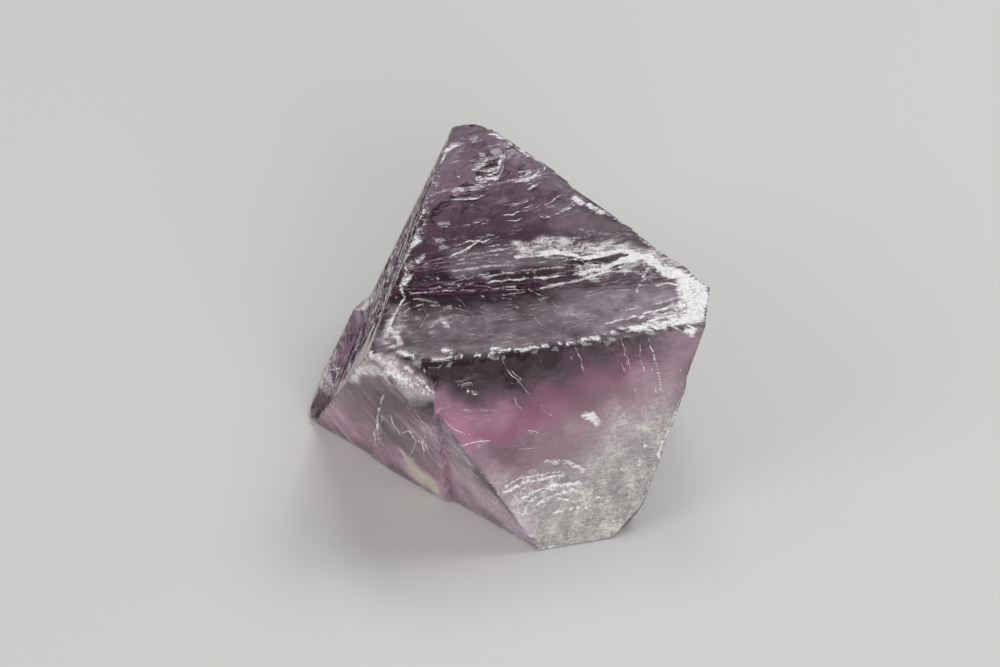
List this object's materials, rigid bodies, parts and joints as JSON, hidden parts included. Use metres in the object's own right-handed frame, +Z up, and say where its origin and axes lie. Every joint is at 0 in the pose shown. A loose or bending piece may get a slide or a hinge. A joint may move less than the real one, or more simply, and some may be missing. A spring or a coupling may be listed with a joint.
{
  "type": "fluorite octahedron",
  "caption": "Cleaved octahedron of clear mauve fluorite, flattened, with stepped cleavage faces and chipped corners, lying on one face.",
  "frame": {"origin": "on the surface that the crystal lies on, under the middle of its box", "axes": "+Z up, square to the bottom cleavage face; -Y towards the broad front face"},
  "size_m": [0.03, 0.031, 0.0167],
  "materials": {
    "fluorite": "cleaved, glassy, frosted where it is crushed"
  },
  "bodies": {
    "root": {"fluorite_octahedron": "fluorite"}
  },
  "joints": []
}
